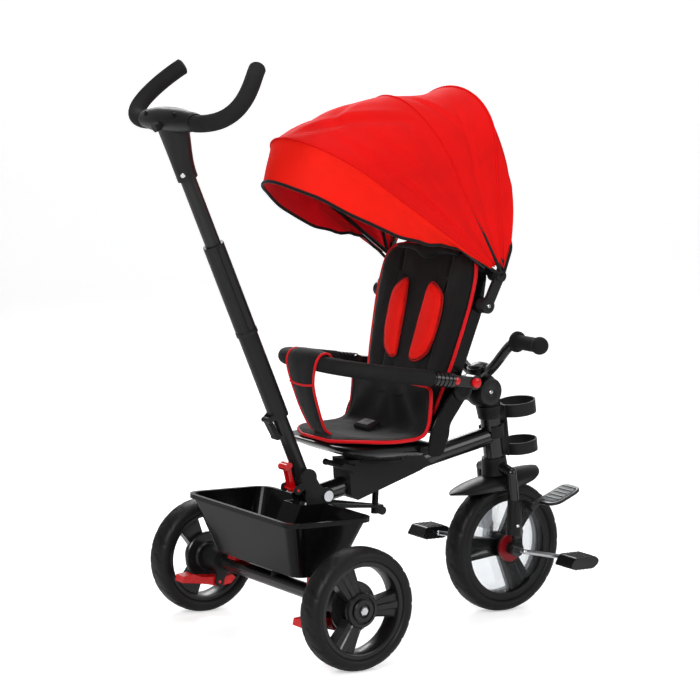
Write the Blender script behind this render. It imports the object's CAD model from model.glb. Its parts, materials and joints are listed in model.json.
import json
import math

import bmesh
import bpy
import numpy as np
from mathutils import Matrix, Vector, noise


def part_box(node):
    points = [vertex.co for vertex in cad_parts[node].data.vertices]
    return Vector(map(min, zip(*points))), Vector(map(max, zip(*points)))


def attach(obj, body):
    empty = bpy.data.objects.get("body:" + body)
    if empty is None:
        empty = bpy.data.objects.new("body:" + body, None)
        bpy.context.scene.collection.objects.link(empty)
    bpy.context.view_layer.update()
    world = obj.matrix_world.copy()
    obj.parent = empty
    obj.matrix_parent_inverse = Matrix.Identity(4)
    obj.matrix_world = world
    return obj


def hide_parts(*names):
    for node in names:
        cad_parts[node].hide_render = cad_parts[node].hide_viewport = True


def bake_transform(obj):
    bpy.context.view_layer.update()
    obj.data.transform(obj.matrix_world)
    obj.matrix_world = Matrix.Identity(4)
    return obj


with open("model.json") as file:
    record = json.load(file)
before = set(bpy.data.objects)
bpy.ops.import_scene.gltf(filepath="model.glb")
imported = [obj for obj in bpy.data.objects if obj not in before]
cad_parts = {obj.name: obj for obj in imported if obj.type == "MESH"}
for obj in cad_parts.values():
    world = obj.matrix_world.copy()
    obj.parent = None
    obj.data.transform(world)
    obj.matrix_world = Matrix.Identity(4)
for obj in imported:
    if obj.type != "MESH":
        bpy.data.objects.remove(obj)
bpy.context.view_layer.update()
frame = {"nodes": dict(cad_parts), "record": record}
nodes = frame["nodes"]

# ---- Places: millimetres from the rear axle (x), the middle (y) and the ground (z) ----
WHEELBASE = 523.0
lo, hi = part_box("front_tyre")
MID = WHEELBASE - (lo.x + hi.x) / 2 * 1000
TAU = 2 * math.pi
SIDES = ((1, "left"), (-1, "right"))


def D(x, y, z):
    """A point of the shared frame from design millimetres."""
    return Vector(((x - MID) / 1000, y / 1000, z / 1000))


def out_to(side):
    """The direction away from the middle."""
    return Vector((0, side, 0))


def rad(a):
    return math.radians(a)


# ---- Materials ----
def _new(name):
    m = bpy.data.materials.new(name)
    m.use_nodes = True
    nt = m.node_tree
    b = nt.nodes["Principled BSDF"]
    return m, nt, b


def _coord(nt):
    """Object coordinates: a grain keeps its size on every piece."""
    return nt.nodes.new("ShaderNodeTexCoord").outputs["Object"]


def _put(nt, n, inputs):
    """Sets a node's inputs: each is a constant, or another node's socket."""
    for key, v in inputs.items():
        if hasattr(v, "links"):
            nt.links.new(v, n.inputs[key])
        else:
            n.inputs[key].default_value = v


def _node(nt, kind, output, inputs):
    n = nt.nodes.new("ShaderNode" + kind)
    _put(nt, n, inputs)
    return n.outputs[output]


def _noise(nt, vec, scale, detail=3.0, rough=0.55):
    return _node(nt, "TexNoise", "Fac", {"Vector": vec, "Scale": scale, "Detail": detail, "Roughness": rough})


def _map(nt, fac, a, b):
    return _node(nt, "MapRange", "Result", {"Value": fac, "To Min": a, "To Max": b})


def _math(nt, op, a, b):
    m = nt.nodes.new("ShaderNodeMath")
    m.operation = op
    _put(nt, m, {0: a, 1: b})
    return m.outputs[0]


def _bump(nt, height, strength, distance, **normal):
    return _node(nt, "Bump", "Normal", {"Height": height, "Strength": strength, "Distance": distance, **normal})


def _ramp(nt, fac, low, high):
    """Blends two stops, each a position and a colour."""
    r = nt.nodes.new("ShaderNodeValToRGB")
    for stop, (position, color) in zip(r.color_ramp.elements, (low, high)):
        stop.position = position
        stop.color = (*color, 1.0)
    _put(nt, r, {"Fac": fac})
    return r.outputs["Color"]


def _tones(nt, fac, color, low, high):
    """The colour from darker to lighter, mixed by fac."""
    return _ramp(nt, fac, (0.3, [c * low for c in color]), (0.7, [min(1, c * high) for c in color]))


def solid(name, color, rough, metal, spread, grain, grain_scale, coat=0.0, edge=0.0, rough_spread=0.08, level=0.3):
    """Moulded plastic or painted metal: slow colour change, fine grain, paler worn edges."""
    m, nt, b = _new(name)
    vec = _coord(nt)
    col = _tones(nt, _noise(nt, vec, 14.0, 4.0), color, 1 - spread, 1 + spread)
    if edge:
        g = nt.nodes.new("ShaderNodeNewGeometry")
        w = _ramp(nt, g.outputs["Pointiness"], (0.5, (0, 0, 0)), (0.6, (1, 1, 1)))
        mix = nt.nodes.new("ShaderNodeMix")
        mix.data_type = "RGBA"
        _put(nt, mix, {"Factor": _math(nt, "MULTIPLY", w, edge), "A": col,
                       "B": (*[min(1, c * 2.2 + 0.03) for c in color], 1)})
        col = mix.outputs["Result"]
    _put(nt, b, {"Base Color": col, "Metallic": metal, "Specular IOR Level": level, "IOR": 1.5,
                 "Coat Weight": coat, "Coat Roughness": 0.06,
                 "Roughness": _map(nt, _noise(nt, vec, 60.0, 5.0), rough - rough_spread, rough + rough_spread),
                 "Normal": _bump(nt, _noise(nt, vec, grain_scale, 2.0, 0.6), grain, 0.0004)})
    return m


def weave(name, color, scale, rough, sheen, depth, spread, fold=0.0):
    """Woven cloth: crossed wave patterns for the threads, blotches and slow folds."""
    m, nt, b = _new(name)
    vec = _coord(nt)
    h = None
    for turn in ((0, 0, rad(45)), (rad(90), 0, rad(-45)), (0, rad(90), rad(20))):
        along = _node(nt, "Mapping", "Vector", {"Vector": vec, "Rotation": turn})
        w = _node(nt, "TexWave", "Fac", {"Vector": along, "Scale": scale / 6.28, "Distortion": 0.4})
        h = w if h is None else _math(nt, "MULTIPLY", _math(nt, "ADD", h, w), 0.5)
    slow = _noise(nt, vec, 22.0, 5.0)
    mixed = _math(nt, "ADD", _math(nt, "MULTIPLY", slow, 0.7), _math(nt, "MULTIPLY", h, 0.3))
    n = _bump(nt, h, depth, 0.0003)
    if fold:
        n = _bump(nt, _noise(nt, vec, 16.0, 3.0), fold, 0.006, Normal=n)
    _put(nt, b, {"Base Color": _tones(nt, mixed, color, 1 - spread, 1 + spread), "Roughness": rough,
                 "Specular IOR Level": 0.14, "Sheen Weight": sheen, "Sheen Roughness": 0.5, "Normal": n})
    return m


def foam_mat(name, color):
    """Closed foam: fine pores and slow patches."""
    m, nt, b = _new(name)
    vec = _coord(nt)
    _put(nt, b, {"Base Color": _tones(nt, _noise(nt, vec, 30.0, 4.0), color, 0.8, 1.25), "Roughness": 0.78,
                 "Specular IOR Level": 0.22, "Normal": _bump(nt, _noise(nt, vec, 1400.0, 2.0, 0.7), 0.5, 0.0005)})
    return m


def clear_mat(name):
    """Clear plastic, partly see-through so that what lies behind it is seen."""
    m, nt, b = _new(name)
    _put(nt, b, {"Base Color": (0.82, 0.9, 0.98, 1), "Transmission Weight": 1.0, "Alpha": 0.22, "IOR": 1.35,
                 "Roughness": _map(nt, _noise(nt, _coord(nt), 40.0), 0.02, 0.14)})
    return m


frame_paint = solid("frame_paint", (0.0045, 0.0045, 0.005), 0.24, 0.0, 0.2, 0.1, 500, coat=0.45, edge=0.2)
handle_paint = solid("handle_paint", (0.006, 0.006, 0.0066), 0.32, 0.0, 0.15, 0.1, 600, coat=0.2, edge=0.2,
                     level=0.22)
matte_black = solid("matte_black", (0.0035, 0.0035, 0.0039), 0.42, 0.0, 0.2, 0.25, 1100, edge=0.25, level=0.2)
grey_plastic = solid("grey_plastic", (0.007, 0.007, 0.0077), 0.36, 0.0, 0.15, 0.22, 1100, edge=0.2, level=0.24)
foot_grey = solid("foot_grey", (0.055, 0.066, 0.068), 0.45, 0.0, 0.12, 0.3, 1000, edge=0.2)
gloss_black = solid("gloss_black", (0.0028, 0.0028, 0.003), 0.2, 0.0, 0.2, 0.04, 300, coat=0.12, edge=0.1,
                    rough_spread=0.05, level=0.1)
red_plastic = solid("red_plastic", (0.6, 0.002, 0.004), 0.25, 0.0, 0.12, 0.06, 700, coat=0.3, edge=0.05)
dark_red = solid("dark_red", (0.2, 0.002, 0.005), 0.35, 0.0, 0.15, 0.1, 700, edge=0.05)
steel = solid("steel", (0.62, 0.63, 0.65), 0.16, 1.0, 0.06, 0.04, 900, level=0.5)
tyre_rubber = solid("tyre_rubber", (0.0045, 0.0045, 0.005), 0.46, 0.0, 0.25, 0.3, 900, edge=0.3, level=0.22)
foam = foam_mat("foam", (0.009, 0.009, 0.0095))
clear = clear_mat("clear")
seat_cloth = weave("seat_cloth", (0.0065, 0.006, 0.0065), 1700, 0.75, 0.12, 0.35, 0.25, fold=0.3)
red_cloth = weave("red_cloth", (0.72, 0.0025, 0.002), 1900, 0.75, 0.0, 0.22, 0.07, fold=0.16)
visor_cloth = weave("visor_cloth", (0.86, 0.009, 0.002), 1900, 0.7, 0.0, 0.2, 0.06, fold=0.1)
lining = weave("lining", (0.85, 0.003, 0.012), 1700, 0.8, 0.1, 0.25, 0.15)
piping = weave("piping", (0.68, 0.003, 0.008), 2600, 0.5, 0.1, 0.2, 0.06)
webbing = weave("webbing", (0.0045, 0.0045, 0.005), 1400, 0.72, 0.1, 0.5, 0.2)
pad_red = weave("pad_red", (0.82, 0.006, 0.002), 1800, 0.62, 0.08, 0.3, 0.08, fold=0.15)
matte_gloss = solid("matte_gloss", (0.0045, 0.0045, 0.005), 0.3, 0.0, 0.2, 0.14, 900, coat=0.15, edge=0.2)
dark_cloth_red = weave("dark_cloth_red", (0.4, 0.003, 0.002), 1900, 0.62, 0.1, 0.25, 0.1)
binding = weave("binding", (0.006, 0.0055, 0.006), 1600, 0.7, 0.1, 0.35, 0.2)

SLOT = {"frame_paint": frame_paint, "handle_paint": handle_paint, "bright_steel": steel, "matte_black": matte_black,
        "grey_plastic": grey_plastic, "foot_grey": foot_grey, "gloss_black": gloss_black, "red_plastic": red_plastic,
        "clear_plastic": clear, "tyre_black": tyre_rubber, "foam": foam, "seat_fabric": seat_cloth,
        "red_fabric": red_cloth}


def cover(o, mat):
    """The piece's only material."""
    o.data.materials.clear()
    o.data.materials.append(mat)


for part in frame["record"]["subparts"]:
    cover(nodes[part["node"]], SLOT[part["material_slot"]])


# ---- Mesh helpers ----
def smooth(me):
    for p in me.polygons:
        p.use_smooth = True


def make(name, verts, faces, mats, body=None, repl=(), angle=40.0):
    me = bpy.data.meshes.new(name)
    me.from_pydata([tuple(v) for v in verts], [], faces)
    for m in mats if isinstance(mats, (list, tuple)) else [mats]:
        me.materials.append(m)
    bm = bmesh.new()
    bm.from_mesh(me)
    bmesh.ops.remove_doubles(bm, verts=bm.verts, dist=1e-6)
    bmesh.ops.recalc_face_normals(bm, faces=bm.faces)
    bm.to_mesh(me)
    bm.free()
    o = bpy.data.objects.new(name, me)
    bpy.context.scene.collection.objects.link(o)
    smooth(me)
    me.set_sharp_from_angle(angle=rad(angle))
    finish_piece(o, body, repl)
    return o


def finish_piece(o, body, repl):
    if body:
        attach(o, body)
    if repl:
        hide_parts(*([repl] if isinstance(repl, str) else repl))


def loft(name, rings, mats, body=None, repl=(), caps=True, angle=40.0, loop=False):
    """A surface through closed rings of points; loop joins the last ring to the first."""
    n = len(rings[0])
    verts = [p for r in rings for p in r]
    faces = []
    for i in range(len(rings) if loop else len(rings) - 1):
        for j in range(n):
            a, b = i * n + j, i * n + (j + 1) % n
            k = (i + 1) % len(rings)
            faces.append((a, b, k * n + (j + 1) % n, k * n + j))
    if caps and not loop:
        faces.append(tuple(range(n - 1, -1, -1)))
        faces.append(tuple(range((len(rings) - 1) * n, len(rings) * n)))
    return make(name, verts, faces, mats, body, repl, angle)


def frames(path):
    """Side and up directions along a path, carried without twist."""
    t = []
    for i in range(len(path)):
        a, b = path[max(i - 1, 0)], path[min(i + 1, len(path) - 1)]
        t.append((b - a).normalized())
    ref = Vector((0, 0, 1)) if abs(t[0].z) < 0.9 else Vector((1, 0, 0))
    u = t[0].cross(ref).normalized()
    out = []
    for d in t:
        u = (u - d * u.dot(d)).normalized()
        out.append((d, u, d.cross(u).normalized()))
    return out


def resample(path, step):
    """The path cut into equal lengths of about step, in metres."""
    seg = [(b - a).length for a, b in zip(path, path[1:])]
    total = sum(seg)
    n = max(2, int(round(total / step)))
    out, k, run = [], 0, 0.0
    for i in range(n + 1):
        d = total * i / n
        while k < len(seg) - 1 and run + seg[k] < d:
            run += seg[k]
            k += 1
        out.append(path[k].lerp(path[k + 1], min(1.0, (d - run) / max(seg[k], 1e-9))))
    return out


def spline(points, per, closed=False):
    """Catmull-Rom curve through points, with per steps between two of them."""
    n = len(points)
    out = []
    for i in range(n if closed else n - 1):
        near = range(i - 1, i + 3)
        p0, p1, p2, p3 = (points[k % n] if closed else points[min(max(k, 0), n - 1)] for k in near)
        for j in range(per):
            t = j / per
            out.append(0.5 * ((2 * p1) + (p2 - p0) * t + (2 * p0 - 5 * p1 + 4 * p2 - p3) * t * t
                              + (3 * p1 - p0 - 3 * p2 + p3) * t ** 3))
    if not closed:
        out.append(points[-1].copy())
    return out


def tube(name, path, r, mats, body=None, repl=(), sides=20, dome=0.0, closed=False):
    """A round tube of radius r mm; dome rounds its ends by that share of r; closed joins the path's ends."""
    if closed:
        path = path + [path[0].copy()]
    fr = frames(path)
    if closed:
        fr[0] = fr[-1] = ((path[1] - path[-2]).normalized(), *fr[0][1:])
    q = r / 1000

    def ring(p, f, w):
        return [p + (f[1] * math.cos(TAU * j / sides) + f[2] * math.sin(TAU * j / sides)) * w for j in range(sides)]

    def cap(p, f, way, a):
        return ring(p + f[0] * way * q * dome * math.sin(a), f, max(q * math.cos(a), q * 0.06))

    steps = [rad(90 * k / 5) for k in range(1, 6)] if dome else []
    rings = [cap(path[0], fr[0], -1, a) for a in reversed(steps)]
    rings += [ring(p, f, q) for p, f in zip(path, fr)]
    rings += [cap(path[-1], fr[-1], 1, a) for a in steps]
    if closed:
        rings = rings[:-1]
    return loft(name, rings, mats, body, repl, caps=not closed, loop=closed)


def lathe(name, centre, axis, profile, mats, body=None, repl=(), n=96, angle=35.0, mod=None):
    """A turned piece: profile is (radius, height along the axis) in mm. mod(r, h, a) may shift a point's radius."""
    axis = axis.normalized()
    u = axis.orthogonal().normalized() if abs(axis.y) < 0.9 else Vector((1, 0, 0))
    u = (u - axis * u.dot(axis)).normalized()
    v = axis.cross(u)
    rings = []
    for k in range(n):
        a = TAU * k / n
        d = u * math.cos(a) + v * math.sin(a)
        rings.append([centre + d * ((r + (mod(r, h, a) if mod else 0)) / 1000) + axis * (h / 1000)
                      for r, h in profile])
    return loft(name, rings, mats, body, repl, caps=False, angle=angle, loop=True)


def disc(name, x, y, z, side, profile, mats, body, n=40):
    """A turned piece that faces sideways, y mm from the middle."""
    lathe(name, D(x, y * side, z), out_to(side), profile, mats, body, n=n)


def rounded(poly, radius, n=4):
    """The outline with rounded corners; radius is one value or one for each corner."""
    out = []
    m = len(poly)
    for i in range(m):
        r = radius[i] if hasattr(radius, "__len__") else radius
        p, a, b = Vector(poly[i]), Vector(poly[i - 1]), Vector(poly[(i + 1) % m])
        da, db = (a - p), (b - p)
        q = min(r, da.length * 0.48, db.length * 0.48)
        s, e = p + da.normalized() * q, p + db.normalized() * q
        for k in range(n + 1):
            t = k / n
            out.append((1 - t) ** 2 * s + 2 * t * (1 - t) * p + t * t * e)
    return [(v.x, v.y) for v in out]


def prism(name, outline, place, h0, h1, mats, body=None, repl=(), bevel=1.0, segments=2):
    """An outline made solid from h0 to h1 mm; place(u, v, h) gives each point in the shared frame."""
    n = len(outline)
    verts = [place(u, v, h) for h in (h0, h1) for u, v in outline]
    faces = [tuple(range(n - 1, -1, -1)), tuple(range(n, 2 * n))]
    faces += [(i, (i + 1) % n, n + (i + 1) % n, n + i) for i in range(n)]
    o = make(name, verts, faces, mats)
    if bevel:
        add_bevel(o, bevel, segments)
    finish_piece(o, body, repl)
    return o


def add_bevel(o, width, segments=2, limit=35.0):
    m = o.modifiers.new("bevel", "BEVEL")
    m.width = width / 1000
    m.segments = segments
    m.limit_method = "ANGLE"
    m.angle_limit = rad(limit)
    m.harden_normals = False


def wrinkle(p, scale, seed):
    """Smooth noise at a point of the shared frame."""
    return noise.noise(Vector((p.x * scale + seed, p.y * scale, p.z * scale)))


# ---- Sun hood ----
PIVOT = (352.1, 668.0)
# Each bow: angle, length, shoulder, half width there, half width at the pivots
BOW_HEM = (70.0, 112.0, 43.7, 172.0, 174.0)
BOW_C = (90.0, 336.0, 225.1, 137.5, 174.0)
BOW_B = (115.0, 348.0, 181.0, 137.5, 174.0)
BOW_A = (147.3, 434.0, 290.8, 137.5, 174.0)
BOW_V = (158.1, 425.3, 151.9, 137.5, 174.0)


def arch(b, s):
    """A point of a bow: straight sides up to the shoulder, then a rounded top. s is -90 to 90."""
    ang, length, shoulder, half, low = b
    if abs(s) > 60:
        up = (90 - abs(s)) / 30
        r, y = shoulder * up, math.copysign(low + (half - low) * up, s)
    else:
        r, y = shoulder + (length - shoulder) * math.cos(rad(1.5 * s)), half * math.sin(rad(1.5 * s))
    return D(PIVOT[0] + r * math.cos(rad(ang)), y, PIVOT[1] + r * math.sin(rad(ang)))


# The visor's free edge: degrees along the bow, height in mm
WAVE = ((0, 0), (22, 4), (38, 12), (50, 13), (58, 4), (66, -9), (73, -15), (80, -8), (90, 0))


def droop(b, s, share):
    """The visor's free edge sags beside its front and rises before the pivots."""
    a, k = abs(s), 0
    while k < len(WAVE) - 2 and a > WAVE[k + 1][0]:
        k += 1
    (x0, y0), (x1, y1) = WAVE[k], WAVE[k + 1]
    t = min(1.0, (a - x0) / (x1 - x0))
    e = (y0 + (y1 - y0) * (t * t * (3 - 2 * t))) * share
    return Vector((-math.sin(rad(b[0])) * e / 1000, 0, math.cos(rad(b[0])) * e / 1000))


def bow_line(b, end, n):
    """Points along a bow from one side to the other, end degrees each way."""
    along = [-end + 2 * end * i / n for i in range(n + 1)]
    return [arch(b, s) + (droop(b, s, 1) if b is BOW_V else Vector()) for s in along]


def between(a, b, f, slack):
    """A bow between two others; slack lets it hang in."""
    q = slack * math.sin(math.pi * f)
    return tuple(x + (y - x) * f - d for x, y, d in zip(a, b, (0, q, q * 0.5, 0, 0)))


def sewn(o):
    """The piece goes where the hood's fabric goes."""
    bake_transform(o)


# Creases pressed into a panel: start and end (share of the way between the bows, degrees along the bow),
# depth and width in mm
CREASES = {
    "hood_top_front": ((0.93, -3, 0.22, -27, 7.5, 9.0), (0.86, -22, 0.74, -74, 5.4, 7.0),
                       (0.35, 2, 0.72, -12, 5.0, 8.0), (0.62, -30, 0.5, -62, 3.6, 8.0),
                       (0.9, 6, 0.25, 30, 6.6, 9.0), (0.84, 26, 0.72, 70, 5.0, 7.0)),
    "hood_top_rear": ((0.8, -8, 0.45, -40, 4.0, 8.0), (0.3, -16, 0.55, -60, 3.0, 7.0),
                      (0.75, 12, 0.4, 46, 2.6, 7.0)),
    "hood_visor": ((0.3, -30, 0.35, -66, 1.6, 6.0), (0.4, 26, 0.3, 64, 1.6, 6.0)),
    "hood_back": ((0.3, -20, 0.6, -55, 1.6, 7.0), (0.4, 25, 0.6, 60, 1.6, 7.0))}
# A panel's depth, and one degree along a bow, in mm
PANEL_MM, DEGREE_MM = 150, 2.9


def crease(name, f, s):
    """Height, in mm, of the pressed lines at one point of a panel."""
    q, out = (f * PANEL_MM, s * DEGREE_MM), 0.0
    for f0, s0, f1, s1, deep, wide in CREASES[name]:
        a, b = (f0 * PANEL_MM, s0 * DEGREE_MM), (f1 * PANEL_MM, s1 * DEGREE_MM)
        dx, dy = b[0] - a[0], b[1] - a[1]
        n = dx * dx + dy * dy
        t = max(0.0, min(1.0, ((q[0] - a[0]) * dx + (q[1] - a[1]) * dy) / n))
        bend = 5 * math.sin(t * math.pi)
        off = ((q[0] - a[0]) * dy - (q[1] - a[1]) * dx) / math.sqrt(n) + bend
        along = math.hypot(q[0] - a[0] - t * dx, q[1] - a[1] - t * dy)
        past = max(0.0, along - abs(off - bend))
        end = math.exp(-(past / 12) ** 2) * math.sin(math.pi * (0.08 + 0.84 * t)) ** 0.6
        u = off / wide
        out += deep * end * (0.45 * math.exp(-(u - 1.9) ** 2) - math.exp(-u * u))
    return out * min(1.0, math.sin(math.pi * min(max(f, 0), 1)) * 2.2)


# A panel's last degree on either side, and its faces from side to side
PANEL_END, PANEL_ACROSS = 87, 120


def hood_panel(name, a, b, slack, mats, steps, folds, seed):
    """The cloth between two bows, and its area before it gets its thickness."""
    rows = []
    for i in range(steps + 1):
        f = i / steps
        bow = between(a, b, f, slack)
        row = []
        for j in range(PANEL_ACROSS + 1):
            s = -PANEL_END + 2 * PANEL_END * j / PANEL_ACROSS
            p = arch(bow, s)
            side = abs(s) / 90
            # Slack creases run from the pivots up towards the top, strongest midway between two bows
            c = math.sin(math.pi * f) ** 0.8
            w = folds * c * (0.35 + 0.65 * side) * (
                math.sin(f * 9.4 + 1.7 * math.sin(s / 31 + seed) + seed) * 0.6 + wrinkle(p, 9.0, seed) * 0.9)
            n = (p - D(PIVOT[0] - 60, 0, PIVOT[1] + 120)).normalized()
            row.append(p + n * (w + crease(name, f, s)) / 1000 + (droop(bow, s, f * f) if b is BOW_V else Vector()))
        rows.append(row)
    verts = [p for r in rows for p in r]
    m = PANEL_ACROSS + 1
    faces = [(i * m + j, i * m + j + 1, (i + 1) * m + j + 1, (i + 1) * m + j)
             for i in range(steps) for j in range(PANEL_ACROSS)]
    o = make(name, verts, faces, mats, angle=60)
    area = sum(p.area for p in o.data.polygons)
    sol = o.modifiers.new("thick", "SOLIDIFY")
    sol.thickness = 0.0016
    sol.offset = -1
    sol.material_offset = 1
    sol.material_offset_rim = 0
    apply_all(o)
    return o, area


def apply_all(o):
    """The modifiers' result becomes the mesh."""
    bpy.context.view_layer.update()
    dg = bpy.context.evaluated_depsgraph_get()
    me = bpy.data.meshes.new_from_object(o.evaluated_get(dg))
    o.modifiers.clear()
    o.data = me


def hood():
    # The middle bow is sewn into the fabric, so it goes where the fabric goes; its hubs turn on their own joint
    under = (BOW_B[0], BOW_B[1] - 5.5, BOW_B[2], BOW_B[3] - 3.5, BOW_B[4])
    o = tube("hood_mid_bow", bow_line(under, 89, 80), 3.4, matte_black, sides=12)
    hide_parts("bow_mid")
    sewn(o)
    hub_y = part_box("bow_mid")[1].y * 1000 - 2.5
    for side, tag in SIDES:
        disc("mid_bow_hub_" + tag, PIVOT[0], hub_y, PIVOT[1], side,
             [(0.3, 1.5), (6, 1.4), (8, 0.4), (8, -2.5), (0.3, -2.5)], matte_black, "hood_mid", n=32)
    for name, a, b, slack, cloth, steps, folds, seed in (
            ("hood_back", BOW_HEM, BOW_C, -14, red_cloth, 22, 1.8, 0.3),
            ("hood_top_rear", BOW_C, BOW_B, 17, red_cloth, 30, 3.6, 1.1),
            ("hood_top_front", BOW_B, BOW_A, 9, red_cloth, 40, 4.6, 2.3),
            ("hood_visor", BOW_A, BOW_V, 0, visor_cloth, 18, 0.8, 3.9)):
        o, area = hood_panel(name, a, b, slack, [cloth, lining], steps, folds, seed)
        sewn(o)
        # Flat size: the way between the bows with 5 % for the bulge, and the length that gives the cloth's area
        w = (arch(b, 0) - arch(a, 0)).length * 1.05
        if name == "hood_back":
            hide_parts("canopy_fabric")
    # Seams where the cloth is sewn round each bow
    for name, b, r in (("seam_c", BOW_C, 2.0), ("seam_b", BOW_B, 1.7), ("seam_a", BOW_A, 2.4)):
        sewn(tube(name, bow_line((b[0], b[1] + 0.4, b[2], b[3] + 0.2, b[4]), 86, 80), r, red_cloth, sides=8))
    # Black binding round the visor's edge and the rear hem
    for name, b in (("binding_visor", BOW_V), ("binding_hem", BOW_HEM)):
        sewn(tube(name, bow_line(b, 88.5, 100), 3.0, binding, sides=10, dome=0.6))


# ---- Seat ----
BACK_LEAN = 12.5
BACK_X, SEAT_Z = 253.5, 372.0
LEAN_C, LEAN_S = math.cos(rad(BACK_LEAN)), math.sin(rad(BACK_LEAN))


def back(s, n, y):
    """A point of the backrest: s mm up along it, n mm in front of it, y across."""
    return D(BACK_X + s * LEAN_S - n * LEAN_C, y, SEAT_Z + s * LEAN_C + n * LEAN_S)


def push_back(o, fn):
    """Moves a backrest piece's points along the backrest's normal by fn(s, n, y) mm."""
    co = np.array([v.co for v in o.data.vertices]) * 1000
    dx, dz = co[:, 0] + MID - BACK_X, co[:, 2] - SEAT_Z
    s, n = dx * LEAN_S + dz * LEAN_C, -dx * LEAN_C + dz * LEAN_S
    d = fn(s, n, co[:, 1])
    co[:, 0] -= d * LEAN_C
    co[:, 2] += d * LEAN_S
    o.data.vertices.foreach_set("co", (co / 1000).astype(np.float32).ravel())
    o.data.update()


def edge_distance(s, y, outline):
    """How far each point lies from an outline, in mm."""
    best = np.full(len(s), 1e9)
    p = np.stack([s, y], 1)
    for a, b in zip(outline, outline[1:] + outline[:1]):
        a, b = np.array(a), np.array(b)
        ab = b - a
        t = np.clip(((p - a) @ ab) / max(ab @ ab, 1e-9), 0, 1)
        best = np.minimum(best, np.linalg.norm(p - a - t[:, None] * ab, axis=1))
    return best


def dent(v, at, width):
    """A smooth hump of height 1 where v is at."""
    return np.exp(-((v - at) / width) ** 2)


def roughen(s, y, scale, seed):
    """Smooth noise for arrays of points."""
    return np.array([noise.noise(Vector((a * scale, b * scale, seed))) for a, b in zip(s, y)])


def refine(o):
    """One round of subdivision, shaded smooth."""
    m = o.modifiers.new("sub", "SUBSURF")
    m.levels = m.render_levels = 1
    apply_all(o)
    smooth(o.data)


# The cloth solver's steps, and the pressure inside a cushion
SWELL_FRAMES, SWELL_PRESSURE = 20, 4.0


def swell(o, cap, voxel):
    """Cloth inflation of a closed form: its skin swells, and no point moves further than cap mm."""
    m = o.modifiers.new("remesh", "REMESH")
    m.mode = "VOXEL"
    m.voxel_size = voxel / 1000
    apply_all(o)
    rest = np.array([v.co for v in o.data.vertices])
    c = o.modifiers.new("cloth", "CLOTH")
    st = c.settings
    st.use_pressure = True
    st.uniform_pressure_force = SWELL_PRESSURE
    st.quality = 5
    st.mass = 0.25
    st.tension_stiffness = st.compression_stiffness = 12
    st.shear_stiffness = 6
    st.bending_stiffness = 0.4
    st.effector_weights.gravity = 0
    c.collision_settings.use_self_collision = False
    sc = bpy.context.scene
    sc.frame_start, sc.frame_end = 1, SWELL_FRAMES
    c.point_cache.frame_start, c.point_cache.frame_end = 1, SWELL_FRAMES
    for f in range(1, SWELL_FRAMES + 1):
        sc.frame_set(f)
    apply_all(o)
    sc.frame_set(1)
    move = np.array([v.co for v in o.data.vertices]) - rest
    d = np.linalg.norm(move, axis=1)
    lim = cap / 1000
    k = np.where(d > lim, lim / np.maximum(d, 1e-9), 1.0)
    o.data.vertices.foreach_set("co", (rest + move * k[:, None]).astype(np.float32).ravel())
    o.data.update()


def cushion(name, outline, n0, n1, bevel, mat, repl, shape, cap=2.5, voxel=3.2):
    """A stuffed piece of the backrest: an outline (s, y) filled from n0 to n1, swollen by cloth, then shaped."""
    o = prism(name, outline, lambda s, y, n: back(s, n, y), n0, n1, mat, bevel=0)
    add_bevel(o, bevel, 4)
    apply_all(o)
    swell(o, cap, voxel)
    sm = o.modifiers.new("smooth", "SMOOTH")
    sm.iterations = 6
    sm.factor = 0.6
    apply_all(o)
    refine(o)
    push_back(o, shape)
    cover(o, mat)
    finish_piece(o, "backrest", repl)


def mirrored(half):
    """A closed outline from its +Y half, listed from the middle of the bottom to the middle of the top."""
    return half + [(s, -y) for s, y in reversed(half) if abs(y) > 1e-6]


# Outlines (s, y): left half of the back cushion, the left shoulder pad, left half of the head roll
BACK_EDGE = [(36, 0), (36, 60), (37, 92), (42, 104), (72, 112), (107, 120), (142, 127), (178, 132.5), (214, 137.5),
             (248, 141), (285, 141), (310, 137.5), (327, 129), (338, 112), (343, 80), (344, 40), (344, 0)]
PAD_EDGE = [(277, 42), (270, 33), (240, 27.5), (205, 24), (170, 21.5), (138, 20), (130.5, 24), (128, 34), (130, 45),
            (137, 58), (147, 70), (166, 77.5), (186, 82), (217, 85), (240, 83.5), (255, 79), (266, 67), (274, 53)]
HEAD_EDGE = [(317, 0), (320, 16), (328, 34), (331, 52), (331, 86), (335, 97), (341, 92), (345, 60), (346, 30),
             (346, 0)]
# A strap's middle line (s, n, y), and its section across and along the normal
STRAP_LINE = ((290, 8.5, 64), (286, 12.0, 63), (278, 14.0, 61), (250, 14.2, 57), (200, 14.2, 51), (150, 14.0, 45),
              (118, 13.4, 40), (96, 15.5, 35), (76, 22, 30), (60, 33, 26))
STRAP_SECTION = ((-13, 0), (-6, 0.5), (0, 0.7), (6, 0.5), (13, 0), (13, -1.6), (6, -1.1), (0, -0.9), (-6, -1.1),
                 (-13, -1.6))


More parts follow.
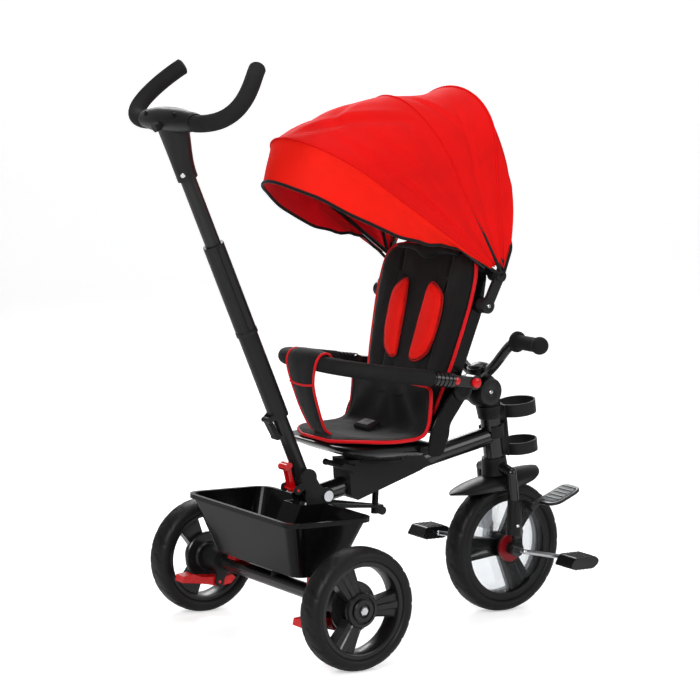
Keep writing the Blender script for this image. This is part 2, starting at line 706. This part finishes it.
def backrest():
    edge = mirrored(BACK_EDGE)

    def back_shape(s, n, y):
        front = np.clip((n - 2) / 6, 0, 1)
        ends = np.clip((s - 50) / 20, 0, 1) * np.clip((334 - s) / 14, 0, 1)
        groove = dent(np.abs(y), 70 + 0.02 * (s - 190), 3.6) * ends
        belly = 2.2 * np.cos(np.clip(y / 70, -1, 1) * math.pi / 2) + 1.8 * dent(np.abs(y), 103, 22)
        folds = 0.9 * roughen(s, y, 0.02, 1.5) + 0.5 * roughen(s, y * 0.5, 0.06, 4.5)
        seam = dent(edge_distance(s, y, edge), 9, 2.2)
        return front * (belly - 4.4 * groove + folds - 0.8 * seam)

    cushion("back_cushion", edge, -1.0, 8.5, 5.0, seat_cloth, "back_pad", back_shape, 3.5, 4.0)
    loop = spline([back(s, 1.5, y) for s, y in edge], 4, closed=True)
    tube("back_piping", loop, 3.4, piping, "backrest", sides=12, closed=True)

    # Shoulder pads with a stitched line inside their edge
    def pad_shape(outline):
        def f(s, n, y):
            d = edge_distance(s, y, outline)
            front = np.clip((n - 18) / 4, 0, 1)
            return front * (1.6 * np.clip(d / 26, 0, 1) - 1.1 * dent(d, 8.5, 1.3) + 0.6 * roughen(s, y, 0.03, 7.0))
        return f

    pad_edge = spline([Vector((a, b, 0)) for a, b in PAD_EDGE], 3, closed=True)
    for side, tag in SIDES:
        slim = 0.82 if side > 0 else 1.0
        ol = [(v.x, (22 + (v.y - 22) * slim) * side) for v in pad_edge]
        cushion("shoulder_pad_" + tag, ol, 15.4, 24.0, 3.6, pad_red,
                "shoulder_pads" if side > 0 else (), pad_shape(ol))
        tube("shoulder_edge_" + tag, [back(u, 19.0, w) for u, w in ol], 1.5, dark_cloth_red, "backrest",
             sides=8, closed=True)
    # Straps: out of the slots, under the shoulder pads and down to the buckle
    for side, tag in SIDES:
        rows = [[back(s, n + dn, (y + w) * side) for w, dn in STRAP_SECTION] for s, n, y in STRAP_LINE]
        rings = list(zip(*[spline(line, 4) for line in zip(*rows)]))
        o = loft("strap_" + tag, rings, webbing, "backrest", "harness" if side > 0 else ())
        # Slot that the strap comes out of
        slot = rounded([(256, 40 * side), (256, 92 * side), (288, 92 * side), (288, 40 * side)], 6)
        tube("slot_" + tag, [back(a, 10.6, b) for a, b in slot], 2.2, binding, "backrest", sides=8,
             closed=True)
    # Headrest roll at the top, deeper at its middle
    cushion("head_roll", mirrored(HEAD_EDGE), 9.5, 19.0, 4.0, seat_cloth, "headrest",
            lambda s, n, y: 0.6 * roughen(s, y, 0.04, 2.0))


# The lower cushion's half width, the radius of its front corners and the rounding of its edge
CUSHION_HALF, CUSHION_CORNER, CUSHION_EDGE = 123.5, 97.0, 12


def seat_line():
    """Line of the lower cushion's upper face: along the seat, then up in front of the backrest."""
    pts = [(76, 363.5), (88, 366.5), (108, 368.5), (150, 368.5), (185, 369.5), (212, 372), (228, 379),
           (236.5, 393), (239.5, 412), (240.5, 436), (240.5, 452), (240.0, 463)]
    return resample(spline([D(x, 0, z) for x, z in pts], 6), 0.004)


def seat_half(d, total):
    """Half width d mm along the line: round corners in front, and narrower towards the top."""
    r, q = CUSHION_CORNER, CUSHION_EDGE
    half = CUSHION_HALF
    if d < r:
        half += math.sqrt(max(0.0, r * r - (r - max(d, 1.5)) ** 2)) - r
    e = total - d
    if e < q:
        half -= q - math.sqrt(max(0.0, q * q - (q - e) ** 2))
    if e < 95:
        half -= 2.5 * (1 - e / 95)
    return half


def lower_cushion():
    line = seat_line()
    total = sum((b - a).length for a, b in zip(line, line[1:])) * 1000
    rings, left, right, d = [], [], [], 0.0
    n = 40
    for k, (p, f) in enumerate(zip(line, frames(line))):
        if k:
            d += (line[k] - line[k - 1]).length * 1000
        up = Vector((-f[0].z, 0, f[0].x))
        half = max(seat_half(d, total), 20)
        ends = min(d + 1.5, total - d + 1.5)
        # Creases fan out from the bend, where the cushion turns up into the backrest
        bend = max(0.0, 1 - abs(d - 195) / 75)
        top, low = [], []
        for j in range(n + 1):
            y = half * math.sin(math.pi / 2 * (2 * j / n - 1))
            e = min(half - abs(y) + 0.6, ends)
            q = math.sqrt(1 - (1 - min(e / CUSHION_EDGE, 1)) ** 2)
            dish = -3.0 * math.exp(-((y / 62) ** 2)) * min(1, max(0, (d - 20) / 60)) * min(1, (total - d) / 90)
            fold = 1.2 * noise.noise(Vector((d * 0.018, y * 0.018, 3.0)))
            fold += 0.6 * noise.noise(Vector((d * 0.05, y * 0.05, 9.0)))
            fan = math.sin(abs(y) * 0.085 + (d - 195) * 0.06 + 0.6) * 2.6 * bend * min(1, abs(y) / 25)
            seam = -1.4 * math.exp(-(((e - 10) / 2.0) ** 2))
            h = 5.0 * q + (dish + fold + fan + seam) * min(1, e / CUSHION_EDGE)
            across = p + Vector((0, y / 1000, 0))
            top.append(across + up * (h / 1000))
            low.append(across - up * (5.0 * q / 1000))
        rings.append(top + low[::-1])
        left.append(p + Vector((0, half / 1000, 0)))
        right.append(p - Vector((0, half / 1000, 0)))
    o = loft("seat_cushion", rings, seat_cloth, angle=180)
    refine(o)
    cover(o, seat_cloth)
    finish_piece(o, "seat", "seat_pad")
    edge = resample(left + right[::-1] + [left[0].copy()], 0.004)[:-1]
    tube("seat_piping", edge, 3.4, piping, "seat", sides=12, closed=True)


# ---- Safety ring ----
RING = (312.2, 474.0)
RING_REACH, RING_HALF, RING_CORNER, RING_PITCH = 260.0, 149.0, 108.0, 6.6


def ring_at(u, y, up=0.0):
    """A point of the ring: u mm forward from its pivot, y across, up square to its plane."""
    c, q = math.cos(rad(RING_PITCH)), math.sin(rad(RING_PITCH))
    return D(RING[0] - u * c + up * q, y, RING[1] + u * q + up * c)


def ring_path(u0):
    """Middle line of the ring's foam, from u0 mm on one side round to the other."""
    side, front = RING_HALF - RING_CORNER, RING_REACH - RING_CORNER
    pts = [ring_at(u0 + (front - u0) * k / 6, RING_HALF) for k in range(6)]
    for k in range(25):
        a = rad(90 * k / 24)
        pts.append(ring_at(front + RING_CORNER * math.sin(a), side + RING_CORNER * math.cos(a)))
    return resample(pts + [Vector((p.x, -p.y, p.z)) for p in reversed(pts)], 0.006)


# The cover from the ring's front down to the seat: x, z and half width
COVER = [(76, 506, 36), (72, 517, 42), (62, 522.5, 45), (51, 522.3, 46), (42, 516, 46.5), (37.5, 506, 46),
         (36.8, 492, 43), (38.5, 477, 38.5), (42, 462, 34.5), (49, 442, 32), (58, 420, 30), (68, 399, 27),
         (79, 381, 24), (91, 373, 23)]


def ring_pieces():
    o = tube("ring_foam_skin", ring_path(95), 14.8, foam, "ring", "ring_foam", sides=28, dome=0.25)
    line = resample(spline([D(x, w, z) for x, z, w in COVER], 6), 0.004)
    rings, lefts, rights = [], [], []
    m = 16
    for i, p in enumerate(line):
        a, b = line[max(i - 1, 0)], line[min(i + 1, len(line) - 1)]
        t = Vector((b.x - a.x, 0, b.z - a.z)).normalized()
        out = Vector((t.z, 0, -t.x))
        c, half = Vector((p.x, 0, p.z)), Vector((0, p.y, 0))
        ring = []
        for side in (1, -1):
            for j in range(m + 1):
                v = (2 * j / m - 1) * side
                q = 2.6 * (1 - abs(v) ** 4) * side
                if side > 0:
                    q += 1.6 * (1 - v * v) + 0.7 * noise.noise(Vector((p.z * 40, v * 2, 5.0 + p.x * 30)))
                ring.append(c + half * v + out * (q / 1000))
        rings.append(ring)
        lefts.append(c + half)
        rights.append(c - half)
    o = loft("ring_cover", rings, seat_cloth, "ring", "crotch_cover", angle=180)
    for tag, path in (("left", lefts), ("right", rights)):
        tube("cover_piping_" + tag, path, 2.4, piping, "ring", sides=10, dome=0.8)
    # A piping across the front of the cover, where its height is 463 mm
    c = min((p for p in line if p.x < D(45, 0, 0).x), key=lambda p: abs(p.z - 0.463)) * 1000
    path = [D(c.x + MID - 3.4 - 1.4 * math.cos(k * math.pi / 20), c.y * (k / 10), c.z + 3 * (abs(k) / 10) ** 2)
            for k in range(-10, 11)]
    tube("cover_piping_cross", path, 2.2, piping, "ring", sides=8, dome=0.8)


# ---- Seat shell and mount ----
EAR = [(236, 338), (262, 338), (276, 376), (276, 396), (324, 462), (326, 480), (312, 489), (298, 482), (240, 402),
       (232, 372), (230, 346)]


def shell():
    # Height, front, back, half width and radius of the front corners
    rows = [(358.5, 66, 262, 121.5, 76), (356.5, 64, 264, 123, 76), (352, 68, 263, 120, 72), (345, 82, 261, 112, 64),
            (338, 100, 258, 100, 54), (332.5, 118, 254, 86, 44), (329, 136, 250, 70, 34)]
    rings = []
    for z, x0, x1, half, r in rows:
        ol = rounded([(x0, -half), (x1, -half), (x1, half), (x0, half)], [r, 26, 26, r], 10)
        rings.append([D(x, y, z) for x, y in ol])
    o = loft("seat_pan", rings, gloss_black, "seat", "seat_shell", angle=50)
    add_bevel(o, 1.5, 2, 50)
    # Ears that carry the pivots of the backrest and the ring
    ear = rounded(EAR, [10, 12, 10, 14, 12, 10, 10, 12, 14, 10, 8], 5)
    foot = rounded([(214, 118), (262, 118), (262, 134), (214, 134)], 4)
    for side, tag in SIDES:
        prism("seat_ear_" + tag, ear, lambda x, z, y, sg=side: D(x, sg * y, z), 130.2, 136, gloss_black, "seat",
              bevel=1.6)
        disc("ear_disc_" + tag, 300, 136, 459, side,
             [(0.5, 0), (19, 0), (20, 1.2), (20, 3.2), (18, 4.8), (12, 5.4), (11, 4.4), (0.5, 4.4)],
             matte_black, "seat", n=48)
        prism("ear_foot_" + tag, foot, lambda x, y, z, sg=side: D(x, sg * y, z), 346, 357, gloss_black, "seat",
              bevel=1.5)


# ---- Wheels ----
TYRE_HEIGHT, TYRE_HALF, TREAD_PITCHES = 23, 25, 20


def tyre(name, c, R, body, node):
    inner, half = R - TYRE_HEIGHT, TYRE_HALF
    prof = [(inner, -half + 6), (inner + 2.5, -half + 1.5), (inner + 7, -half), (inner + 12, -half + 0.4),
            (R - 7.5, -half + 2.2), (R - 4, -half + 5), (R - 1.8, -half + 9), (R - 0.5, -half + 14), (R, -half + 19)]
    prof = prof + [(R, -3), (R, 3)] + [(r, -h) for r, h in reversed(prof)]
    prof += [(inner, half - 10), (inner - 1, 0), (inner, -half + 10)]

    def marks(r, h, a):
        """Slanted grooves across the tread, half a step apart on its two sides."""
        if r < R - 6 or abs(h) > half - 1:
            return 0
        k = (a * TREAD_PITCHES / TAU + (0.35 if h > 0 else 0.0) + abs(h) / 34) % 1
        return -2.0 * math.exp(-((k - 0.5) / 0.06) ** 2) * (1 if abs(h) > 4 else 0.2)

    lathe(name, c, out_to(1), prof, tyre_rubber, body, node, n=320, angle=50, mod=marks)


def spoke(name, c, turn, r0, r1, w0, w1, y0, y1, body):
    """One wide arm with raised edges and a groove down its middle. y0 is its inner face and y1 its outer face."""
    rings = []
    steps = 10
    ca, sa = math.cos(rad(turn)), math.sin(rad(turn))
    for i in range(steps + 1):
        t = i / steps
        r = r0 + (r1 - r0) * t
        w = w0 + (w1 - w0) * t ** 1.4
        deep = 2.6 if i else 0.6
        half = [(w, y0), (w, y1 - 2.5), (w - 2.2, y1), (w * 0.34, y1 - 0.2), (w * 0.24, y1 - deep)]
        section = [(-v, h) for v, h in half] + half[::-1]
        rings.append([c + Vector((ca * r - sa * v, h, sa * r + ca * v)) / 1000 for v, h in section])
    loft(name, rings, matte_gloss, body, angle=30)


def rim(name, c, R, half, hub, body, node, side, first):
    """Rim band, hub and three arms; side is the direction of its outer face along Y."""
    prof = [(R, -half), (R + 1, -half + 2), (R - 1, -half + 5), (R - 1, half - 5), (R + 1, half - 2), (R, half),
            (R - 5, half + 0.6), (R - 8, half - 1), (R - 10, half - 6), (R - 11, 0), (R - 10, -half + 6),
            (R - 8, -half + 1), (R - 5, -half - 0.6)]
    lathe(name + "_band", c, out_to(1), prof, matte_gloss, body, node, n=128)
    prof = [(6, -22), (hub - 6, -22), (hub - 3, -18), (hub - 3, 6), (hub, 9), (hub, 16), (hub - 1.5, 18.5),
            (hub - 7, 19.5), (hub - 8, 17.5), (21, 17.5), (20.5, 21), (19, 22.4), (12, 22.6), (10.5, 20), (6, 20)]
    lathe(name + "_hub", c, out_to(side), prof, matte_gloss, body, n=72)
    for k in range(3):
        spoke(name + "_arm_%d" % k, c, first + 120 * k, hub - 5, R - 9, 15, 23, -8 * side, 13 * side, body)
    prof = [(0.4, 19.0), (7.4, 19.0), (8.6, 20.4), (8.4, 23.4), (6.6, 24.6), (0.4, 24.8)]
    lathe(name + "_nut", c, out_to(side), prof, steel, body, n=6, angle=20)
    # Brake drum behind the arms
    prof = [(14, 8), (44, 8), (46, 10), (46, 15), (44, 17), (20, 18), (14, 18)]
    lathe(name + "_drum", c, out_to(-side), prof, matte_gloss, body)


def wheels():
    for side, tag in SIDES:
        c = D(0, 250 * side, 108)
        tyre("tyre_skin_" + tag, c, 108, "wheel_" + tag, "tyre_" + tag)
        rim("rim_skin_" + tag, c, 85, 19, 31, "wheel_" + tag, "rim_" + tag, side, 2.0)
    tyre("tyre_skin_front", D(WHEELBASE, 0, 127), 127, "front_wheel", "front_tyre")


# ---- Mudguard ----
# Middle line from the rear tip to the front tip: x, z, the half width and the drop of its sides
GUARD = [(390, 237, 3, 1), (402, 242.5, 17, 5), (420, 250, 28, 12), (444, 258.5, 35, 19), (470, 265, 39, 24),
         (498, 269.5, 41, 26), (526, 274, 41, 26), (552, 277.5, 38.5, 24), (574, 279.5, 33, 19), (590, 280, 22, 11),
         (597, 279.5, 8, 4)]
GUARD_BEND = rad(86)


def guard_face(x, z, half, drop):
    """One face's section from side to side."""
    turns = [GUARD_BEND * (-1 + 2 * k / 24) for k in range(25)]
    return [D(x, half * math.sin(a) / math.sin(GUARD_BEND), z - drop * (1 - math.cos(a))) for a in turns]


def mudguard():
    pts = spline([Vector((x, z, 0)) for x, z, w, d in GUARD], 5)
    wid = spline([Vector((w, d, 0)) for x, z, w, d in GUARD], 5)
    rings = [guard_face(p.x, p.y, w.x, w.y) + guard_face(p.x, p.y - 3.0, w.x - 2.6, w.y - 0.4)[::-1]
             for p, w in zip(pts, wid)]
    loft("mudguard", rings, grey_plastic, "steering", "fender", angle=50)


# ---- Pedals ----
def pedals():
    half = 24.5
    body = rounded([(-34, -5), (-24, 11.5), (24, 11.5), (34, 5), (34, -3), (22, -12.5), (-22, -12.5),
                    (-34, -9)], 4.5)
    for side, tag in SIDES:
        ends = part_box("pedal_" + tag)
        c = (ends[0] + ends[1]) / 2
        y = c.y * 1000

        def place(u, v, h, c=c):
            return Vector((c.x + u / 1000, h / 1000, c.z + v / 1000))

        pedal = "pedal_" + tag
        prism("pedal_skin_" + tag, body, place, y - half, y + half, matte_gloss, pedal, pedal,
              bevel=4.5, segments=4)
        # Raised grips across the tread, above and below
        for j in range(5):
            for up in (1, -1):
                x = -18 + 9 * j
                z = 11.7 if up > 0 else -12.9
                grip = rounded([(x - 1.8, z - 1), (x + 1.8, z - 1), (x + 1.4, z + 1.2), (x - 1.4, z + 1.2)], 0.6, 2)
                prism("pedal_grip_%s_%d_%d" % (tag, j, up > 0), grip, place, y - half + 5, y + half - 5,
                      matte_gloss, pedal, bevel=0)


# ---- Push handle's top ----
HANDLE_LEAN = rad(25.9)
# Middle of the barrel (x, z)
BARREL = (-250.0, 929.0)


def handle_at(t):
    """The push tube's line, t mm above its foot, as (x, z)."""
    return 67 - t * math.sin(HANDLE_LEAN), 255 + t * math.cos(HANDLE_LEAN)


def turned(n):
    """The cosines and sines of one full turn in n steps."""
    return [(math.cos(TAU * j / n), math.sin(TAU * j / n)) for j in range(n)]


def handle_top():
    cx, cz = BARREL
    # Barrel across the top, a little flatter below
    rings = []
    for k in range(33):
        v = -1 + 2 * k / 32
        r = 16.5 + 8.2 * (1 - abs(v) ** 2.2)
        if abs(v) > 0.97:
            r *= 0.93
        rings.append([D(cx + r * 1.08 * c, 81 * v, cz + r * (0.96 if q > 0 else 0.86) * q) for c, q in turned(36)])
    loft("handle_barrel", rings, grey_plastic, "handle", "handle_housing", angle=60)
    # Neck that flares from the tube into the barrel
    rings = []
    for k in range(17):
        f = k / 16
        g = f * f * (3 - 2 * f)
        x, z = handle_at(640 + 109 * f)
        x += 10 * g
        wy, wx = 18.2 + 17 * g ** 1.2, 18.2 + 5.5 * g
        rings.append([D(x + wx * c * math.cos(HANDLE_LEAN), wy * q, z + wx * c * math.sin(HANDLE_LEAN))
                      for c, q in turned(40)])
    loft("handle_neck", rings, grey_plastic, "handle", angle=60)
    x, z = handle_at(652)
    lathe("neck_screw_low", D(x - 13, -13.5, z - 5), Vector((-0.65, -0.7, -0.3)),
          [(0.3, 1.4), (3.4, 1.4), (4.4, 0.6), (4.6, -1.5), (0.3, -1.5)], steel, "handle", n=24)
    # Slots in the barrel
    slot = rounded([(-3.5, -6), (3.5, -6), (3.5, 6), (-3.5, 6)], 3)
    for y in (-46, 46):
        prism("barrel_slot_%d" % (y > 0), slot, lambda u, v, h, y=y: D(cx - h, y + u, cz + 10 + v * 0.8), 21.0, 23.6,
              gloss_black, "handle", bevel=0.6)
    # Foam grips bend round from the barrel's ends to the front
    a, b, c, d = (Vector(p) for p in ((-250, 78, 927), (-236, 214, 927), (-181, 141, 1001), (-157, 121, 1021.5)))
    path = [(1 - t) ** 3 * a + 3 * (1 - t) ** 2 * t * b + 3 * (1 - t) * t * t * c + t ** 3 * d
            for t in [k / 36 for k in range(37)]]
    for side, tag in SIDES:
        o = tube("handle_foam_" + tag, [D(p.x, p.y * side, p.z) for p in path], 14.8, foam, "handle",
                 "handle_grips" if side > 0 else (), sides=28, dome=0.35)


# ---- Footrests ----
FOOT_PIVOT, FOOT_TILT = (536.1, 215.0), rad(23)


def footrests():
    ca, sa = math.cos(FOOT_TILT), math.sin(FOOT_TILT)
    px, pz = FOOT_PIVOT
    plate = rounded([(16, 0), (92, 0), (92, 56), (30, 56), (16, 40)], [10, 18, 22, 14, 12], 6)
    tread = rounded([(24, 6), (87, 6), (87, 51), (33, 51), (24, 38)], [7, 14, 18, 10, 8], 6)
    arm = rounded([(-8, 0), (24, 0), (24, 14), (-8, 14)], [7, 3, 3, 7], 5)
    for side, tag in SIDES:
        foot = "footrest_" + tag

        def place(u, v, h, sg=side):
            return D(px + u * ca - h * sa, sg * (60 + v), pz + u * sa + h * ca)

        prism("foot_plate_" + tag, plate, place, -4, 2.2, matte_gloss, foot, foot, bevel=1.6)
        prism("foot_tread_" + tag, tread, place, 2.0, 3.4, foot_grey, foot, bevel=0.6)
        for k in range(5):
            u = 34 + 11.5 * k
            rib = rounded([(u, 10), (u + 3, 10), (u + 3, 47), (u, 47)], 1.4, 3)
            prism("foot_rib_%s_%d" % (tag, k), rib, place, 3.2, 4.6, matte_gloss, foot, bevel=0.5)
        prism("foot_arm_" + tag, arm, place, -4.5, 3.5, matte_gloss, foot, bevel=1.5)
        disc("foot_pin_" + tag, px, 44.5, pz, side,
             [(0.3, 0), (3.9, 0), (3.9, 15), (7, 15.4), (7, 30.6), (4.5, 31.4), (0.3, 31.4)],
             matte_gloss, foot, n=32)


def small_parts():
    cover(nodes["clutch_ring"], dark_red)
    for side, tag in SIDES:
        lathe("ring_catch_" + tag, ring_at(43.5, side * 160.2), out_to(side),
              [(0.3, 2.2), (4.6, 2.0), (6.6, 0.8), (7.0, -0.6), (0.3, -0.6)], red_plastic, "ring",
              n=32)
        # Domed faces of the big buttons
        low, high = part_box("ring_button_" + tag)
        c, r = (low + high) / 2, (high.z - low.z) * 500 - 0.4
        lathe("button_cap_" + tag, Vector((c.x, high.y if side > 0 else low.y, c.z)), out_to(side),
              [(0.3, 1.6), (r * 0.45, 1.4), (r * 0.78, 0.9), (r, -0.3), (r, -0.7), (0.3, -0.7)],
              red_plastic, "ring_button_" + tag, n=40)
        # Round covers on the hood's arms
        disc("arm_disc_low_" + tag, 326.6, 168, 613.9, side,
             [(0.3, 2.6), (5, 2.6), (6, 1.4), (10.5, 1.6), (12, 0.6), (12, -1), (0.3, -1)],
             matte_gloss, "hood_arms")
        disc("arm_screw_" + tag, 326.6, 170.2, 613.9, side, [(0.3, 1.3), (3.0, 1.2), (3.8, 0.2), (0.3, 0.2)],
             steel, "hood_arms", n=20)
    lathe("stem_dome", D(442.6, 0, 480), Vector((-13, 0, 47)),
          [(0.3, 6.5), (5, 6.2), (11, 4.8), (16.5, 2.2), (20.6, -1.6), (21.6, -5), (0.3, -5)],
          matte_gloss, "steering", n=56)
    # Stem: a round cover with a screw in its middle, and a bright screw on the sleeve below, on both sides
    for side, _ in SIDES:
        disc("stem_disc_%d" % (side > 0), 455.6, 28, 433, side,
             [(0.3, 0.6), (4, 0.4), (6, 1.2), (22, 1.6), (25, 1.0), (26, -0.4), (0.3, -0.4)],
             matte_gloss, "steering", n=56)
        disc("stem_screw_%d" % (side > 0), 455.6, 29, 433, side, [(0.3, 1.2), (3.2, 1.0), (4.2, 0), (0.3, 0)],
             steel, "steering", n=24)
        disc("sleeve_screw_%d" % (side > 0), 511, 59.6, 176, side, [(0.3, 1.2), (2.6, 1.1), (3.4, 0), (0.3, 0)],
             steel, "steering", n=24)


# ---- Stage ----
# Direction of view: turned from the X axis, looking down, and the camera's roll
CAMERA_TURN, CAMERA_DOWN, CAMERA_ROLL = rad(35.634), rad(6.684), rad(2.203)
# Strength of the floor's emission, the world's light, and what the camera sees of the world beside it
FLOOR_GLOW, WORLD_LIGHT, WORLD_SEEN = 0.5, 0.24, 0.58


def camera_ray(nt, amount):
    """amount where the camera looks, and 0 for the light that reaches the object."""
    path = nt.nodes.new("ShaderNodeLightPath")
    return _math(nt, "MULTIPLY", path.outputs["Is Camera Ray"], amount)


def on_stage(name, data):
    o = bpy.data.objects.new(name, data)
    bpy.context.scene.collection.objects.link(o)
    return o


def stage():
    # A floor that curves up into a backdrop behind the object
    curve = [rad(6 * k) for k in range(1, 16)]
    prof = [(6.0, 0.0), (-3.2, 0.0)] + [(-3.2 - 1.6 * math.sin(a), 1.6 * (1 - math.cos(a))) for a in curve]
    prof.append((-4.8, 6.0))
    forward = Vector((-math.sin(CAMERA_TURN), -math.cos(CAMERA_TURN), 0))
    side = Vector((math.cos(CAMERA_TURN), -math.sin(CAMERA_TURN), 0))
    verts = [forward * d + side * w + Vector((0, 0, z)) for d, z in prof for w in (-9, 9)]
    faces = [(2 * i, 2 * i + 1, 2 * i + 3, 2 * i + 2) for i in range(len(prof) - 1)]
    me = bpy.data.meshes.new("floor")
    me.from_pydata(verts, [], faces)
    smooth(me)
    # The camera sees the floor a little brighter than the light it throws back
    m, nt, b = _new("floor")
    _put(nt, b, {"Base Color": (0.93, 0.93, 0.935, 1), "Roughness": 0.42, "Specular IOR Level": 0.3,
                 "Emission Color": (1, 1, 1, 1), "Emission Strength": camera_ray(nt, FLOOR_GLOW)})
    me.materials.append(m)
    on_stage("floor", me)
    for name, place, size, power in (("key", (-3.0, -2.2, 2.4), 1.5, 100), ("fill", (2.2, -3.2, 2.0), 2.0, 40),
                                     ("top", (0.1, 0.2, 3.4), 2.4, 34), ("rim", (1.2, 2.6, 2.2), 1.4, 40)):
        lamp = bpy.data.lights.new(name, "AREA")
        lamp.size = size
        lamp.energy = power
        o = on_stage(name, lamp)
        o.location = place
        o.rotation_mode = "QUATERNION"
        o.rotation_quaternion = (Vector((0, 0, 0.45)) - Vector(place)).to_track_quat("-Z", "Y")
    bpy.context.scene.view_settings.view_transform = "Standard"
    w = bpy.data.worlds.new("world")
    bpy.context.scene.world = w
    w.use_nodes = True
    nt = w.node_tree
    # Behind the floor the camera sees pale grey, while the light on the object stays soft and low
    _put(nt, nt.nodes["Background"], {"Color": (1, 1, 1, 1),
                                      "Strength": _math(nt, "ADD", camera_ray(nt, WORLD_SEEN), WORLD_LIGHT)})


def camera():
    right = Vector((math.cos(CAMERA_TURN), -math.sin(CAMERA_TURN), 0))
    level = Vector((-math.sin(CAMERA_TURN), -math.cos(CAMERA_TURN), 0)) * math.cos(CAMERA_DOWN)
    away = level + Vector((0, 0, math.sin(CAMERA_DOWN)))
    up = away.cross(right)
    rolled_right = right * math.cos(CAMERA_ROLL) + up * math.sin(CAMERA_ROLL)
    rolled_up = -right * math.sin(CAMERA_ROLL) + up * math.cos(CAMERA_ROLL)
    c = bpy.data.cameras.new("camera")
    c.lens = 119.88771
    c.sensor_width = 36
    c.clip_start, c.clip_end = 0.1, 60
    o = bpy.data.objects.new("camera", c)
    bpy.context.scene.collection.objects.link(o)
    m = Matrix((rolled_right, rolled_up, away)).transposed().to_4x4()
    m.translation = D(-2312.1, -3425.9, 1015.1)
    o.matrix_world = m
    bpy.context.scene.camera = o


hood()
backrest()
lower_cushion()
ring_pieces()
shell()
wheels()
mudguard()
pedals()
handle_top()
footrests()
small_parts()
stage()
camera()
